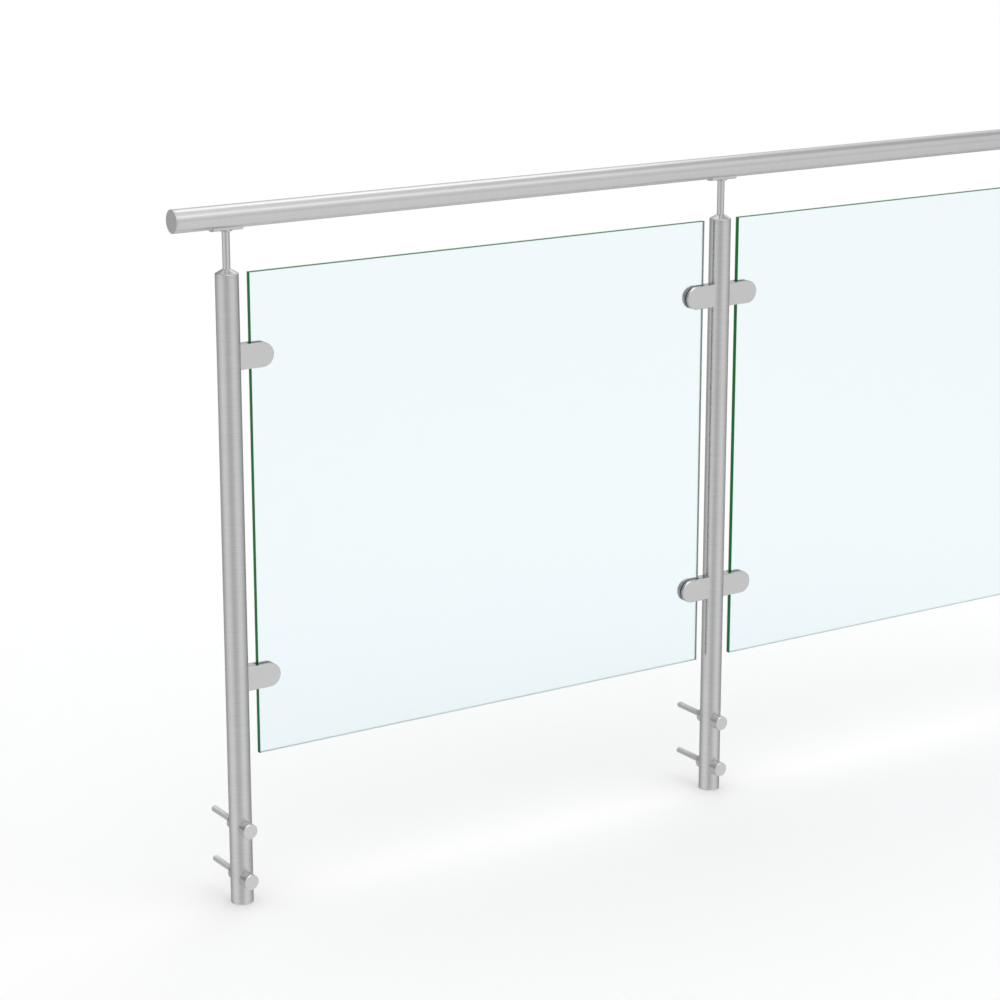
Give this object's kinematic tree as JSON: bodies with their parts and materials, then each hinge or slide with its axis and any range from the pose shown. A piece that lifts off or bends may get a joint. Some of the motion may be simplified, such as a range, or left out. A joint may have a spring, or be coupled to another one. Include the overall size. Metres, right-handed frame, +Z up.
{
  "type": "glass balustrade panel",
  "caption": "Side-mounted glass balustrade panel: round satin steel posts whose clamps hold clear glass panes, with a round handrail on slim stems.",
  "frame": {"origin": "on the wall plane, midway between the two wall fixings of the middle post", "axes": "+X along the balustrade, +Y into the wall, +Z up"},
  "size_m": [2.39, 0.1454, 1.3082],
  "materials": {
    "satin_steel": "satin brushed stainless steel",
    "fastener_steel": "plain stainless steel",
    "pane_glass": "clear toughened glass with polished green edges",
    "gasket_rubber": "black rubber sheet"
  },
  "bodies": {
    "root": {"handrail_tube": "satin_steel", "handrail_left_end_cap": "satin_steel", "handrail_right_end_cap": "satin_steel", "left_pane": "pane_glass", "right_pane": "pane_glass", "left_pane_left_lower_clamp_body": "satin_steel", "left_pane_left_lower_clamp_cover": "satin_steel", "left_pane_left_lower_front_gasket": "gasket_rubber", "left_pane_left_lower_rear_gasket": "gasket_rubber", "left_pane_left_upper_clamp_body": "satin_steel", "left_pane_left_upper_clamp_cover": "satin_steel", "left_pane_left_upper_front_gasket": "gasket_rubber", "left_pane_left_upper_rear_gasket": "gasket_rubber", "left_pane_right_lower_clamp_body": "satin_steel", "left_pane_right_lower_clamp_cover": "satin_steel", "left_pane_right_lower_front_gasket": "gasket_rubber", "left_pane_right_lower_rear_gasket": "gasket_rubber", "left_pane_right_upper_clamp_body": "satin_steel", "left_pane_right_upper_clamp_cover": "satin_steel", "left_pane_right_upper_front_gasket": "gasket_rubber", "left_pane_right_upper_rear_gasket": "gasket_rubber", "right_pane_left_lower_clamp_body": "satin_steel", "right_pane_left_lower_clamp_cover": "satin_steel", "right_pane_left_lower_front_gasket": "gasket_rubber", "right_pane_left_lower_rear_gasket": "gasket_rubber", "right_pane_left_upper_clamp_body": "satin_steel", "right_pane_left_upper_clamp_cover": "satin_steel", "right_pane_left_upper_front_gasket": "gasket_rubber", "right_pane_left_upper_rear_gasket": "gasket_rubber", "right_pane_right_lower_clamp_body": "satin_steel", "right_pane_right_lower_clamp_cover": "satin_steel", "right_pane_right_lower_front_gasket": "gasket_rubber", "right_pane_right_lower_rear_gasket": "gasket_rubber", "right_pane_right_upper_clamp_body": "satin_steel", "right_pane_right_upper_clamp_cover": "satin_steel", "right_pane_right_upper_front_gasket": "gasket_rubber", "right_pane_right_upper_rear_gasket": "gasket_rubber", "left_post_foot_cap": "satin_steel", "left_post_tube": "satin_steel", "left_post_top_cap": "satin_steel", "left_handrail_stem": "satin_steel", "left_handrail_saddle": "satin_steel", "middle_post_foot_cap": "satin_steel", "middle_post_tube": "satin_steel", "middle_post_top_cap": "satin_steel", "middle_handrail_stem": "satin_steel", "middle_handrail_saddle": "satin_steel", "right_post_foot_cap": "satin_steel", "right_post_tube": "satin_steel", "right_post_top_cap": "satin_steel", "right_handrail_stem": "satin_steel", "right_handrail_saddle": "satin_steel", "clamp_cover_screws": "fastener_steel", "clamp_post_screws": "fastener_steel", "post_rivet_nuts": "fastener_steel", "saddle_screws": "fastener_steel", "anchor_studs": "fastener_steel", "anchor_cap_nuts": "satin_steel", "wall_spacers": "satin_steel"}
  },
  "joints": []
}
